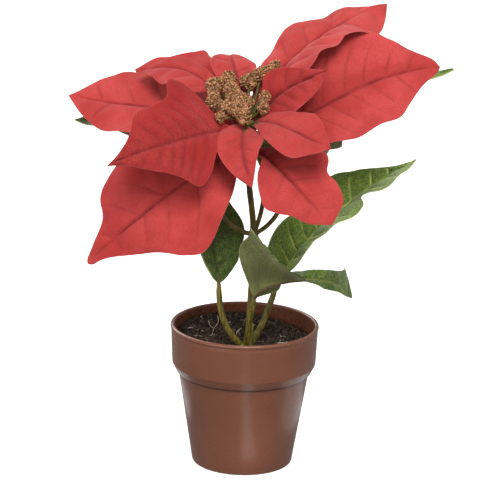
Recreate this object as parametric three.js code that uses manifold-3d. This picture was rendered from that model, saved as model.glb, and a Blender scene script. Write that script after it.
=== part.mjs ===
// A poinsettia in a round nursery pot: one bloom of red bracts and six green leaves on a bush of
// wire-cored stems. Millimetres, +Z up, origin at the middle of the pot's flat underside, and the
// bloom leans towards -Y. Fabric blades are modelled as thin closed sheets with a rib below.
import * as THREE from 'three';
import { mergeVertices } from 'three/addons/utils/BufferGeometryUtils.js';
import Module from 'manifold-3d';

const wasm = await Module();
wasm.setup();

// ---- Driving dimensions -----------------------------------------------------------------------

const GAP = 0.3;                      // clearance between pieces that touch
const SEAT_GAP = 0.8;                 // from a blade's root to what carries it, corners included

const POT = {
  height: 87,
  rimRadius: 45,
  collarDrop: 24,                     // depth of the collar below the rim
  collarTaper: 1.4,                   // how much the collar narrows on the way down
  stepDrop: 5,                        // height of the slope under the collar
  shoulderRadius: 40,
  footRadius: 30.5,
  wall: 1.5,
  floor: 2,
  lipBead: 1.3,                       // radius of the rolled lip
  lipNeck: 0.5,                       // how far the wall lies inside the lip
  lipSides: 4,
  footRound: 1.2,
  sides: 48,
};

const SOIL = {
  height: 78,
  edgeDrop: 2,                        // how much lower it lies along the pot's wall
  backRise: 4.5,                      // higher at the back left
  dish: 3.5,                          // lower round the stems
  dishRadius: 16,
  grain: 0.6,
  rings: [9, 18, 27, 35],
  sides: 32,
  seed: 11,
};

const ROOT = { at: [1, -8], radius: 4.6, bottom: 52, top: 77, sides: 12 };

const STEM = { radius: 1.8, petiole: 1.4, stalk: 0.8, sides: 8, stalkSides: 5, step: 5 };

const BLOOM = {
  centre: [-1, -14, 208],             // middle of the receptacle
  tilt: 25,                           // degrees that the bloom's axis leans towards -Y
  radius: 3.4,
  length: 22,
  sides: 14,
};

const BLADE = {
  thickness: 0.7,
  neck: 1.3,                          // half width where the blade starts
  ribHalfWidth: 1.2,
  ribShare: 0.3,                      // the most of the half width that the rib takes up
  ribDepth: [0.8, 0.1],               // extra depth of the rib below the blade, neck to tip
  curlReach: 30,                      // curl is given at this distance from the rib
};

const ROUTE_STEPS = 12;

const LARGE_GRID = { rows: 14, columns: 4 };
const SMALL_GRID = { rows: 9, columns: 3 };

const COLOURS = {
  bract: 0xc23a3c,
  leaf: 0x3d5f2a,
  stem: 0x5f5a24,
  cyathium: 0xa9744a,
  pot: 0x7b4a3a,
  soil: 0x2a1f1c,
};

// Stems, petioles and midribs grow along a route: its length in mm, its heading in degrees seen
// from above (0 is +X, 90 is +Y) and its climb in degrees above the level. Heading, climb, roll
// and fold are one value, or a list that runs evenly from the start to the end.

const ROOT_TOP = 75;                  // where the stems start inside the root

const STEMS = {
  left: { at: [-1, -8], length: 45, heading: 200, climb: [40, 60, 80, 90] },
  front: { at: [1, -10], length: 37, heading: 290, climb: [75, 65] },
  right: { at: [3, -7], length: 40, heading: 35, climb: [45, 65, 70] },
  stub: { at: [3.5, -9], length: 15, heading: 280, climb: 80 },
};

// The main stem rises from the root through the crotch and on into the receptacle's foot.
const CROTCH = [4, -10, 146];
const MAIN_STEM = [[2, -7, 75], [3, -5, 100], CROTCH, [1, -12, 175]];

const PETIOLES = {
  left: { length: 38, heading: 205, climb: [10, 45, 90] },
  right: { length: 37, heading: [20, 60, 100], climb: [65, 80] },
  back: { length: 31, heading: [20, 60], climb: [20, 60] },
};

// Every blade has its midrib's route, the roll of its upper face about the midrib towards its
// right-hand edge, and its outline as [fraction of the length, half width in mm] on the left and
// right of the midrib seen from above. fold raises a side at the rib, in degrees, and curl turns
// it down again towards its edge; both are given for the left side and the right side.

// A bract's seat is its azimuth round the receptacle and its height on it.
const BRACTS = {
  bract_right: {
    seat: [10, -2],
    length: 120, heading: [10, 20, 5], climb: [20, 25, 5], roll: [30, 50, 50],
    left: [[0.1, 7], [0.3, 25], [0.5, 34], [0.7, 33], [0.8, 22], [0.9, 10]],
    right: [[0.1, 8], [0.25, 22], [0.4, 28], [0.55, 27], [0.7, 28], [0.8, 20], [0.9, 11]],
    fold: [10, 10], curl: [10, 12],
  },
  bract_back_right: {
    seat: [45, -2],
    length: 125, heading: [65, 50, 35, 25, 15], climb: [75, 40, 30, 25, 15], roll: 10,
    left: [[0.1, 4], [0.3, 11], [0.5, 20], [0.6, 23], [0.7, 16], [0.8, 13], [0.9, 6]],
    right: [[0.1, 6], [0.25, 20], [0.4, 28], [0.5, 26], [0.6, 26], [0.7, 19], [0.8, 12],
      [0.9, 13]],
    fold: [8, [5, 15, 30, 30, 22, -15, -50]], curl: [14, 14],
  },
  bract_back_left: {
    seat: [135, -8],
    length: 105, heading: [120, 130, 135, 145], climb: [50, 10, 10, 0], roll: [-20, -45],
    left: [[0.1, 6], [0.3, 18], [0.5, 24], [0.7, 20], [0.9, 8]],
    right: [[0.1, 6], [0.3, 18], [0.5, 24], [0.6, 25], [0.7, 28], [0.8, 16], [0.9, 10]],
    fold: [10, 10], curl: [12, 12],
  },
  bract_left: {
    seat: [175, -2],
    length: 110, heading: [155, 165, 170], climb: [30, 5, 0, 10], roll: [-25, -35],
    left: [[0.1, 6], [0.3, 18], [0.5, 24], [0.7, 25], [0.8, 21], [0.9, 13]],
    right: [[0.1, 7], [0.3, 22], [0.5, 29], [0.7, 27], [0.8, 20], [0.9, 11]],
    fold: [8, 8], curl: [10, 10],
  },
  bract_front_left: {
    seat: [225, 3],
    length: 95, heading: [230, 215, 210, 205], climb: [20, -5, -10, -20], roll: [-50, -55],
    left: [[0.1, 4], [0.2, 5], [0.3, 9], [0.4, 24], [0.5, 30], [0.6, 22], [0.8, 10], [0.9, 4]],
    right: [[0.1, 3], [0.2, 9], [0.3, 33], [0.4, 37], [0.5, 28], [0.7, 23], [0.8, 11],
      [0.9, 4]],
    fold: [8, 8], curl: [12, 12],
  },
  bract_low_left: {
    seat: [215, -8],
    length: 120, heading: [240, 205, 190, 185], climb: [-5, -30, -40, -45], roll: [-20, -50, -50],
    left: [[0.1, 8], [0.3, 28], [0.5, 40], [0.6, 36], [0.7, 24], [0.9, 7]],
    right: [[0.1, 8], [0.3, 25], [0.5, 34], [0.65, 34], [0.75, 26], [0.8, 15], [0.9, 8]],
    fold: [5, 5], curl: [10, 10],
  },
  bract_low_right: {
    seat: [310, -8],
    length: 81, heading: [285, 310, 320, 335], climb: [10, -20, -35, -40], roll: [0, 25, 40],
    left: [[0.1, 5], [0.3, 16], [0.5, 27], [0.57, 27], [0.65, 21], [0.8, 19], [0.93, 14]],
    right: [[0.2, 3], [0.3, 6], [0.4, 15], [0.6, 24], [0.7, 22], [0.8, 14], [0.9, 9]],
    fold: [8, 8], curl: [14, 14],
  },
  bract_small_right: {
    seat: [15, 7],
    length: 55, heading: [20, -5, 10], climb: [60, 45, 25, 25], roll: [45, 60, 60],
    left: [[0.2, 4], [0.3, 8], [0.4, 15], [0.5, 15], [0.7, 9], [0.9, 3]],
    right: [[0.1, 5], [0.2, 12], [0.35, 17], [0.5, 18], [0.7, 14], [0.9, 5]],
    fold: [12, 24], curl: [20, 20],
    grid: SMALL_GRID,
  },
  bract_small_low_right: {
    seat: [330, 9],
    length: 60, heading: [310, 320, 330], climb: [30, -5, -15, -15], roll: 38,
    left: [[0.1, 4], [0.3, 10], [0.5, 15], [0.7, 14], [0.9, 6]],
    right: [[0.1, 5], [0.3, 12], [0.5, 16], [0.7, 17], [0.8, 15], [0.9, 10]],
    fold: [0, 12], curl: [20, 20],
    grid: SMALL_GRID,
  },
  bract_small_front: {
    seat: [265, 9],
    length: 51, heading: [255, 275, 315], climb: [0, -35, -65], roll: [-15, 40],
    left: [[0.1, 8], [0.2, 12], [0.4, 12], [0.6, 9], [0.8, 5]],
    right: [[0.1, 9], [0.2, 13], [0.4, 15], [0.6, 13], [0.8, 8]],
    fold: [8, 8], curl: [20, 20],
    grid: SMALL_GRID,
  },
  bract_small_left: {
    seat: [165, 8],
    length: 80, heading: [125, 145, 155, 170], climb: [20, 45, 5, -25], roll: -20,
    left: [[0.3, 3], [0.4, 10], [0.5, 16], [0.7, 19], [0.8, 15], [0.9, 9]],
    right: [[0.3, 3], [0.4, 6], [0.6, 10], [0.7, 11], [0.8, 8], [0.9, 4]],
    fold: [8, 8], curl: [20, 20],
  },
  bract_small_back: {
    seat: [95, 9],
    length: 60, heading: [110, 100], climb: [50, 40, 30, -25], roll: 0,
    left: [[0.15, 3], [0.3, 6], [0.5, 12], [0.7, 14], [0.8, 12], [0.9, 6]],
    right: [[0.15, 3], [0.3, 6], [0.5, 11], [0.7, 14], [0.85, 8]],
    fold: [12, 0], curl: [20, 20],
    grid: SMALL_GRID,
  },
};

// A leaf sits at the end of a stem or petiole.
const LEAVES = {
  leaf_low_left: {
    stem: 'left',
    length: 76, heading: [150, 105, 120, 135], climb: [80, 65, 60, 50], roll: -15,
    left: [[0.05, 2], [0.1, 4], [0.25, 9], [0.4, 14], [0.6, 14], [0.8, 9]],
    right: [[0.05, 8], [0.1, 11], [0.2, 15], [0.4, 20], [0.6, 14], [0.8, 8]],
    fold: [15, 15], curl: [15, 15],
  },
  // The front leaf is twisted: its underside shows near the stem and its upper face at the tip.
  leaf_front: {
    stem: 'front',
    length: 84, heading: [-50, -15, -5, 40, 60, 60], climb: [50, 25, 5, -20, -35, -35],
    roll: [-90, -85, -25, 65, 65, 65],
    left: [[0.05, 5], [0.15, 12], [0.3, 14], [0.45, 8], [0.6, 7], [0.8, 13], [0.95, 19]],
    right: [[0.04, 12], [0.1, 27], [0.2, 34], [0.24, 42], [0.27, 27], [0.33, 14], [0.45, 6],
      [0.6, 5], [0.8, 4]],
    fold: [[65, 65, 60, 40, 10, 0, 0, 0], 0], curl: [5, 5],
  },
  leaf_right: {
    stem: 'right',
    length: 117, heading: [45, 25, 15, 5], climb: [50, 42, 33, 30], roll: [25, 45],
    left: [[0.05, 9], [0.2, 21], [0.4, 19], [0.6, 22], [0.7, 15], [0.8, 9], [0.9, 3]],
    right: [[0.05, 4], [0.2, 14], [0.3, 8], [0.4, 20], [0.6, 24], [0.65, 11], [0.8, 20],
      [0.9, 14]],
    fold: [10, 50], curl: [15, 15],
  },
  leaf_upper_right: {
    stem: 'petiole_right',
    length: 142, heading: [60, 25, 25, 20, 15], climb: [60, 20, 20, 15, 10], roll: 15,
    left: [[0.05, 8], [0.15, 14], [0.4, 20], [0.6, 16], [0.8, 8], [0.9, 4]],
    right: [[0.05, 3], [0.15, 18], [0.3, 35], [0.35, 29], [0.45, 19], [0.7, 10], [0.9, 5]],
    fold: [10, 10], curl: [15, 15],
  },
  leaf_upper_left: {
    stem: 'petiole_left',
    length: 103, heading: [145, 155, 175], climb: [40, 20, 20, 0], roll: -25,
    left: [[0.1, 6], [0.3, 11], [0.5, 9], [0.7, 6], [0.9, 3]],
    right: [[0.1, 6], [0.3, 16], [0.5, 19], [0.7, 12], [0.9, 5]],
    fold: [10, 10], curl: [15, 15],
  },
  leaf_back: {
    stem: 'petiole_back',
    length: 90, heading: [70, 80], climb: [45, 25, 10, -5], roll: 0,
    left: [[0.1, 6], [0.3, 16], [0.5, 18], [0.7, 12], [0.9, 5]],
    right: [[0.1, 6], [0.3, 16], [0.5, 18], [0.7, 12], [0.9, 5]],
    fold: [10, 10], curl: [15, 15],
  },
};

// Cyathia, the crusty heads in the middle of the bloom. Each has its azimuth round the bloom's
// axis, its distance out from it, its rise above the receptacle's top, its radius, and how far
// its stalk sags on the way where it passes under nearer heads.
const CYATHIA = [
  [175, 20, 11, 4.8, 2],
  [145, 25, 14, 4.8, 4],
  [120, 23, 14, 4.8, 4],
  [135, 14, 13, 5, 2],
  [105, 5, 10, 4.8, 0],
  [250, 7, 8, 4.4, 0],
  [90, 21, 12, 5, 0],
  [75, 29, 13, 4, 3],
  [65, 38, 14, 3.2, 2],
  [35, 12, 12, 3.3, 0],
  [5, 9, 8, 3.4, 0],
  [210, 18, 9, 3.2, 0],
  [190, 11, 10, 4.2, 0],
];

const CYATHIUM = {
  knobs: 0.9,                         // how far knobs stand out and pits go in
  detail: 2,                          // how often the ball's faces are split
  stalkStart: 1,                      // how deep in the receptacle a stalk starts
  stalkStop: 0.3,                     // a stalk ends this share of the radius short of the middle
  seed: 5,
};

// ---- Helpers ----------------------------------------------------------------------------------

const DEGREES = Math.PI / 180;
const WELD = 1e-4;                    // corners closer than this are one
const vector = ([x, y, z]) => new THREE.Vector3(x, y, z);

function randomFrom(seed) {
  let state = seed;
  return () => {
    state = (state + 0x6d2b79f5) | 0;
    let t = Math.imul(state ^ (state >>> 15), 1 | state);
    t = (t + Math.imul(t ^ (t >>> 7), 61 | t)) ^ t;
    return ((t ^ (t >>> 14)) >>> 0) / 4294967296;
  };
}

// The value at fraction t of a single value or of a list that runs evenly from 0 to 1.
function along(values, t) {
  if (!Array.isArray(values)) {
    return values;
  }
  const place = Math.min(Math.max(t, 0), 1) * (values.length - 1);
  const index = Math.min(Math.floor(place), values.length - 2);
  return values[index] + (values[index + 1] - values[index]) * (place - index);
}

function route(start, { length, heading, climb }) {
  const points = [start];
  for (let k = 0; k < ROUTE_STEPS; k++) {
    const t = (k + 0.5) / ROUTE_STEPS;
    const turn = along(heading, t) * DEGREES;
    const rise = along(climb, t) * DEGREES;
    const step = new THREE.Vector3(Math.cos(rise) * Math.cos(turn),
      Math.cos(rise) * Math.sin(turn), Math.sin(rise));
    points.push(points.at(-1).clone().addScaledVector(step, length / ROUTE_STEPS));
  }
  return points;
}

function smoothCurve(points) {
  return new THREE.CatmullRomCurve3(points, false, 'catmullrom', 0.5);
}

function weld(geometry) {
  const bare = geometry.clone();
  bare.deleteAttribute('normal');
  bare.deleteAttribute('uv');
  return mergeVertices(bare, WELD);
}

function toManifold(geometry) {
  const merged = weld(geometry);
  return new wasm.Manifold(new wasm.Mesh({
    numProp: 3,
    vertProperties: new Float32Array(merged.attributes.position.array),
    triVerts: new Uint32Array(merged.index.array),
  }));
}

function fromManifold(solid) {
  const mesh = solid.getMesh();
  const geometry = new THREE.BufferGeometry();
  geometry.setAttribute('position', new THREE.BufferAttribute(mesh.vertProperties, 3));
  geometry.setIndex(new THREE.BufferAttribute(mesh.triVerts, 1));
  geometry.computeVertexNormals();
  return geometry;
}

function named(name, geometry, colour, roughness) {
  const material = new THREE.MeshStandardMaterial({ color: colour, roughness, metalness: 0 });
  const mesh = new THREE.Mesh(geometry, material);
  mesh.name = name;
  return mesh;
}

// An upright round bar whose middle line stands at [x, y].
function uprightBar([x, y], radius, bottom, top, sides) {
  const bar = new THREE.CylinderGeometry(radius, radius, top - bottom, sides);
  bar.rotateX(Math.PI / 2);
  bar.translate(x, y, (bottom + top) / 2);
  return toManifold(bar);
}

// ---- Blades -----------------------------------------------------------------------------------

class Blade {
  constructor(spec, root) {
    this.spec = spec;
    this.curve = smoothCurve(route(root, spec));
    this.length = this.curve.getLength();
    this.grid = spec.grid ?? LARGE_GRID;
  }

  // The place s mm along the midrib and a mm out to the left (side -1) or right (side 1).
  point(s, a, side) {
    const t = s / this.length;
    const rib = this.curve.getPointAt(t);
    const forward = this.curve.getTangentAt(t);
    const level = new THREE.Vector3(0, 0, 1);
    level.addScaledVector(forward, -level.dot(forward)).normalize();
    const up = level.applyAxisAngle(forward, along(this.spec.roll, t) * DEGREES);
    const right = forward.clone().cross(up);
    const which = side < 0 ? 0 : 1;
    const fold = along(this.spec.fold[which], t) * DEGREES;
    const curl = (this.spec.curl[which] * DEGREES) / BLADE.curlReach;
    const out = (Math.sin(fold) - Math.sin(fold - curl * a)) / curl;
    const rise = (Math.cos(fold - curl * a) - Math.cos(fold)) / curl;
    return rib.addScaledVector(right, side * out).addScaledVector(up, rise);
  }

  // The edge on one side as [s, a] pairs, evenly spaced, from the neck to the tip.
  edge(outline) {
    const points = [[0, BLADE.neck], ...outline.map(([t, a]) => [t * this.length, a]),
      [this.length, 0]];
    const curve = new THREE.SplineCurve(points.map(([s, a]) => new THREE.Vector2(s, a)));
    return curve.getSpacedPoints(this.grid.rows);
  }

  // Rows of points from the left edge over the rib to the right edge; the tip is one point.
  rows() {
    const { rows, columns } = this.grid;
    const edges = [this.edge(this.spec.left), this.edge(this.spec.right)];
    const result = [];
    for (let i = 0; i < rows; i++) {
      const s = (this.length * i) / rows;
      const row = [this.point(s, 0, 1)];
      for (const side of [-1, 1]) {
        const edge = edges[side < 0 ? 0 : 1][i];
        const reach = Math.hypot(edge.x - s, edge.y);
        const first = Math.min(BLADE.ribHalfWidth / reach, BLADE.ribShare);
        for (let j = 0; j < columns; j++) {
          const f = first + ((1 - first) * j) / (columns - 1);
          const place = this.point(s + (edge.x - s) * f, edge.y * f, side);
          if (side < 0) {
            row.unshift(place);
          } else {
            row.push(place);
          }
        }
      }
      result.push(row);
    }
    result.push([this.point(this.length, 0, 1)]);
    return result;
  }

  // The sheet's triangles between its rows, by the numbers of their corners.
  triangles() {
    const { rows, columns } = this.grid;
    const across = 2 * columns + 1;
    const tip = rows * across;
    const triangles = [];
    for (let i = 0; i < rows; i++) {
      for (let j = 0; j < across - 1; j++) {
        const [a, b] = [i * across + j, i * across + j + 1];
        if (i === rows - 1) {
          triangles.push([a, b, tip]);
        } else if (j < columns) {
          triangles.push([a, b, b + across], [a, b + across, a + across]);
        } else {
          triangles.push([a, b, a + across], [b, b + across, a + across]);
        }
      }
    }
    return triangles;
  }

  // The corners round the sheet's edge, in order: the neck, the right edge, the tip, the left edge.
  border() {
    const { rows, columns } = this.grid;
    const across = 2 * columns + 1;
    const border = [...Array(across).keys()];
    for (let i = 1; i < rows; i++) {
      border.push(i * across + across - 1);
    }
    border.push(rows * across);
    for (let i = rows - 1; i > 0; i--) {
      border.push(i * across);
    }
    return border;
  }

  // The upper and lower face share one layout of triangles, so that they never meet.
  geometry() {
    const { rows, columns } = this.grid;
    const across = 2 * columns + 1;
    const middle = this.rows().flat();
    const count = middle.length;
    const triangles = this.triangles();
    const sheet = new THREE.BufferGeometry().setFromPoints(middle);
    sheet.setIndex(triangles.flat());
    sheet.computeVertexNormals();
    const points = [];
    for (const face of [1, -1]) {
      middle.forEach((place, k) => {
        const normal = new THREE.Vector3().fromBufferAttribute(sheet.attributes.normal, k);
        const onRib = k % across === columns || k === count - 1;
        const rib = onRib && face < 0 ? along(BLADE.ribDepth, Math.floor(k / across) / rows) : 0;
        const offset = (face * BLADE.thickness) / 2 - rib;
        points.push(place.clone().addScaledVector(normal, offset));
      });
    }
    const faces = triangles.flatMap(([a, b, c]) => [a, b, c, a + count, c + count, b + count]);
    const border = this.border();
    border.forEach((a, k) => {
      const b = border[(k + 1) % border.length];
      faces.push(b, a, b + count, a, a + count, b + count);
    });
    const geometry = new THREE.BufferGeometry().setFromPoints(points);
    geometry.setIndex(faces);
    geometry.computeVertexNormals();
    return geometry;
  }
}

// ---- Bloom ------------------------------------------------------------------------------------

const tilt = BLOOM.tilt * DEGREES;
const bloomAxis = new THREE.Vector3(0, -Math.sin(tilt), Math.cos(tilt));
const bloomBack = new THREE.Vector3(0, Math.cos(tilt), Math.sin(tilt));
const bloomRight = new THREE.Vector3(1, 0, 0);

// A place round the receptacle: azimuth in degrees from the right, seen from above, height along
// the bloom's axis from the receptacle's middle, and distance out from the axis.
function onBloom(azimuth, height, out) {
  return vector(BLOOM.centre)
    .addScaledVector(bloomAxis, height)
    .addScaledVector(bloomRight, out * Math.cos(azimuth * DEGREES))
    .addScaledVector(bloomBack, out * Math.sin(azimuth * DEGREES));
}

function makeBracts() {
  return Object.entries(BRACTS).map(([name, spec]) => {
    const [azimuth, height] = spec.seat;
    const root = onBloom(azimuth, height, BLOOM.radius + SEAT_GAP);
    return named(name, new Blade(spec, root).geometry(), COLOURS.bract, 0.9);
  });
}

// ---- Stems ------------------------------------------------------------------------------------

function tube(points, radius, sides = STEM.sides) {
  const curve = smoothCurve(points);
  const circle = new THREE.Shape();
  for (let k = 0; k < sides; k++) {
    const angle = (2 * Math.PI * k) / sides;
    const corner = [radius * Math.cos(angle), radius * Math.sin(angle)];
    if (k === 0) {
      circle.moveTo(...corner);
    } else {
      circle.lineTo(...corner);
    }
  }
  circle.closePath();
  const steps = Math.max(3, Math.round(curve.getLength() / STEM.step));
  return toManifold(new THREE.ExtrudeGeometry(circle, {
    steps, extrudePath: curve, bevelEnabled: false,
  }));
}

function stemPaths() {
  const receptacleFoot = onBloom(0, -BLOOM.length / 2, 0);
  const mainStem = [...MAIN_STEM.map(vector), receptacleFoot];
  const paths = { main: { points: mainStem, radius: STEM.radius } };
  for (const [name, stem] of Object.entries(STEMS)) {
    const start = new THREE.Vector3(...stem.at, ROOT_TOP);
    paths[name] = { points: route(start, stem), radius: STEM.radius };
  }
  for (const [name, petiole] of Object.entries(PETIOLES)) {
    paths[`petiole_${name}`] = { points: route(vector(CROTCH), petiole), radius: STEM.petiole };
  }
  return paths;
}

function receptacle() {
  const { radius, length, sides } = BLOOM;
  const ends = [[0, -0.5], [0.75, -0.5], [1, -0.4], [1, 0.4], [0.7, 0.5], [0, 0.5]];
  const profile = ends.map(([r, h]) => new THREE.Vector2(r * radius, h * length));
  const solid = new THREE.LatheGeometry(profile, sides);
  solid.rotateX(Math.PI / 2);
  solid.rotateX(tilt);
  solid.translate(...BLOOM.centre);
  return toManifold(solid);
}

function makeStems() {
  let bush = uprightBar(ROOT.at, ROOT.radius, ROOT.bottom, ROOT.top, ROOT.sides);
  bush = bush.add(receptacle());
  for (const { points, radius } of Object.values(stemPaths())) {
    bush = bush.add(tube(points, radius));
  }
  for (const head of CYATHIA) {
    bush = bush.add(stalk(head, STEM.stalk, 0));
  }
  return named('stems', fromManifold(bush), COLOURS.stem, 0.6);
}

// ---- Leaves -----------------------------------------------------------------------------------

function makeLeaves() {
  const paths = stemPaths();
  return Object.entries(LEAVES).map(([name, spec]) => {
    const curve = smoothCurve(paths[spec.stem].points);
    const root = curve.getPointAt(1).addScaledVector(curve.getTangentAt(1), SEAT_GAP);
    return named(name, new Blade(spec, root).geometry(), COLOURS.leaf, 0.75);
  });
}

// ---- Pot and soil -----------------------------------------------------------------------------

const collarBottom = POT.height - POT.collarDrop;
const shoulderHeight = collarBottom - POT.stepDrop;

function potProfile() {
  const p = POT;
  const inner = (radius) => radius - p.wall;
  const beadFoot = p.height - 3 * p.lipBead;
  const points = [[0, 0], [p.footRadius - p.footRound, 0], [p.footRadius, p.footRound],
    [p.shoulderRadius, shoulderHeight], [p.rimRadius - p.collarTaper, collarBottom],
    [p.rimRadius - p.lipNeck, beadFoot]];
  const [firstAngle, lastAngle] = [-45, 180];
  for (let k = 0; k <= p.lipSides; k++) {
    const angle = (firstAngle + ((lastAngle - firstAngle) * k) / p.lipSides) * DEGREES;
    points.push([p.rimRadius - p.lipBead + p.lipBead * Math.cos(angle),
      p.height - p.lipBead + p.lipBead * Math.sin(angle)]);
  }
  points.push([inner(p.rimRadius - 2 * p.lipNeck), beadFoot],
    [inner(p.rimRadius - p.collarTaper), collarBottom],
    [inner(p.shoulderRadius), shoulderHeight],
    [inner(p.footRadius), p.floor], [0, p.floor]);
  return points.map(([r, z]) => new THREE.Vector2(r, z));
}

function makePot() {
  const solid = new THREE.LatheGeometry(potProfile(), POT.sides);
  solid.rotateX(Math.PI / 2);
  return named('pot', fromManifold(toManifold(solid)), COLOURS.pot, 0.4);
}

// The soil's grainy upper surface.
function soilHeight(x, y, random) {
  const back = Math.max(0, (y - x) / (Math.SQRT2 * SOIL.rings.at(-1)));
  const [rootX, rootY] = ROOT.at;
  const dish = Math.exp(-(((x - rootX) ** 2 + (y - rootY) ** 2) / SOIL.dishRadius ** 2));
  return SOIL.height + SOIL.backRise * back - SOIL.dish * dish + SOIL.grain * (random() - 0.5);
}

function innerRadiusAt(z) {
  const share = (z - POT.floor) / (shoulderHeight - POT.floor);
  return POT.footRadius + (POT.shoulderRadius - POT.footRadius) * share - POT.wall;
}

// The soil fills the pot, with a plain hole for the root.
function makeSoil() {
  const random = randomFrom(SOIL.seed);
  const walls = [POT.floor + GAP, shoulderHeight - GAP].map((z) => [innerRadiusAt(z) - GAP, z]);
  const collarInner = POT.rimRadius - POT.collarTaper - POT.wall - 2 * GAP;
  walls.push([collarInner, collarBottom + GAP], [collarInner, SOIL.height - SOIL.edgeDrop]);
  const points = [new THREE.Vector3(0, 0, POT.floor + GAP)];
  const ringStarts = [];
  const addRing = (radius, height) => {
    ringStarts.push(points.length);
    for (let k = 0; k < SOIL.sides; k++) {
      const angle = (2 * Math.PI * k) / SOIL.sides;
      const [x, y] = [radius * Math.cos(angle), radius * Math.sin(angle)];
      points.push(new THREE.Vector3(x, y, height ?? soilHeight(x, y, random)));
    }
  };
  walls.forEach(([radius, z]) => addRing(radius, z));
  [...SOIL.rings].reverse().forEach((radius) => addRing(radius));
  const centre = points.length;
  points.push(new THREE.Vector3(0, 0, soilHeight(0, 0, random)));
  const faces = [];
  for (let k = 0; k < SOIL.sides; k++) {
    const next = (k + 1) % SOIL.sides;
    faces.push(0, ringStarts[0] + next, ringStarts[0] + k);
    for (let r = 0; r + 1 < ringStarts.length; r++) {
      const [low, high] = [ringStarts[r], ringStarts[r + 1]];
      faces.push(low + k, low + next, high + next, low + k, high + next, high + k);
    }
    faces.push(ringStarts.at(-1) + k, ringStarts.at(-1) + next, centre);
  }
  const body = new THREE.BufferGeometry().setFromPoints(points);
  body.setIndex(faces);
  const hole = uprightBar(ROOT.at, ROOT.radius + GAP, ROOT.bottom - GAP, POT.height, ROOT.sides);
  return named('soil', fromManifold(toManifold(body).subtract(hole)), COLOURS.soil, 1);
}

// ---- Cyathia ----------------------------------------------------------------------------------

function headCentre([azimuth, out, rise]) {
  return onBloom(azimuth, BLOOM.length / 2 + rise, out);
}

// A head's stalk rises from the receptacle and ends inside the head; extra makes it longer.
function stalk(head, thickness, extra) {
  const radius = head[3];
  const sag = head[4];
  const from = onBloom(0, BLOOM.length / 2 - CYATHIUM.stalkStart, 0);
  const centre = headCentre(head);
  const middle = from.clone().lerp(centre, 0.5).addScaledVector(bloomAxis, -sag);
  const inward = centre.clone().sub(middle).normalize();
  const end = centre.addScaledVector(inward, extra - radius * CYATHIUM.stalkStop);
  return tube([from, middle, end], thickness, STEM.stalkSides);
}

// A head is a ball of knobs and pits with a socket for its stalk.
function makeCyathia() {
  const random = randomFrom(CYATHIUM.seed);
  return CYATHIA.map((head, i) => {
    const radius = head[3];
    const ball = weld(new THREE.IcosahedronGeometry(radius, CYATHIUM.detail));
    const corners = ball.attributes.position;
    for (let k = 0; k < corners.count; k++) {
      const corner = new THREE.Vector3().fromBufferAttribute(corners, k);
      corner.setLength(radius - CYATHIUM.knobs * random());
      corners.setXYZ(k, corner.x, corner.y, corner.z);
    }
    ball.translate(...headCentre(head));
    const solid = toManifold(ball).subtract(stalk(head, STEM.stalk + GAP, GAP));
    return named(`cyathium_${i + 1}`, fromManifold(solid), COLOURS.cyathium, 0.8);
  });
}

const group = new THREE.Group();
group.add(makePot(), makeSoil(), makeStems(), ...makeLeaves(), ...makeBracts());
group.add(...makeCyathia());

export default group;
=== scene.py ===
"""The looks of the potted poinsettia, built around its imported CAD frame. Shapes are worked out in
millimetres in the CAD's own frame and turned into metres when a mesh is made."""
import math

import bmesh
import bpy
import numpy as np
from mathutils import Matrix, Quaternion, Vector, noise


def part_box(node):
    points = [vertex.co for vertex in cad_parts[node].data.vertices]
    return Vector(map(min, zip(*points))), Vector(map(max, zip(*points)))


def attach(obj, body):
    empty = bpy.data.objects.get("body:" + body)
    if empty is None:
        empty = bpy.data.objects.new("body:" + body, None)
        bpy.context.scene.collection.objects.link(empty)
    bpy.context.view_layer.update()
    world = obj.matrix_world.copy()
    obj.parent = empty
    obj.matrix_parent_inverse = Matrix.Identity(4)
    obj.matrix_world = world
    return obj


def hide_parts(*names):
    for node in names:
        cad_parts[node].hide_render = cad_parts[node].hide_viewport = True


MM = 0.001
UP = np.array([0.0, 0.0, 1.0])

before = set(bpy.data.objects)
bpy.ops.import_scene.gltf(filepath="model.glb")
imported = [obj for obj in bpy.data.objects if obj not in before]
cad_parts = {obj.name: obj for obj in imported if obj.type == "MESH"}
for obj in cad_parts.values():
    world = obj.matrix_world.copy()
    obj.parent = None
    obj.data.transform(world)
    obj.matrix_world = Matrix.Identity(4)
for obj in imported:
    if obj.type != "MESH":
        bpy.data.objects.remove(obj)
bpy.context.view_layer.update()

# ---- Growth ----

# The CAD part's named sizes in mm and degrees. Some outlines and folds are drawn finer here.

ROOT = {"at": (1, -8), "top": 75}
STEM = {"radius": 1.8, "petiole": 1.4, "stalk": 0.8}
BLOOM = {"centre": (-1, -14, 208), "tilt": 25, "radius": 3.4, "length": 22}
SEAT_GAP = 0.8
NECK = 1.3
CURL_REACH = 30
ROUTE_STEPS = 12
POT = {"height": 87, "rim": 45, "collar_drop": 24, "collar_taper": 1.4, "step_drop": 5,
       "shoulder": 40, "foot": 30.5, "wall": 1.5, "floor": 2, "bead": 1.3, "foot_round": 1.2}
SOIL = {"height": 78, "back_rise": 4.5, "dish": 3.5, "dish_radius": 16, "edge_drop": 2,
        "radius": 41.4}

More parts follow.
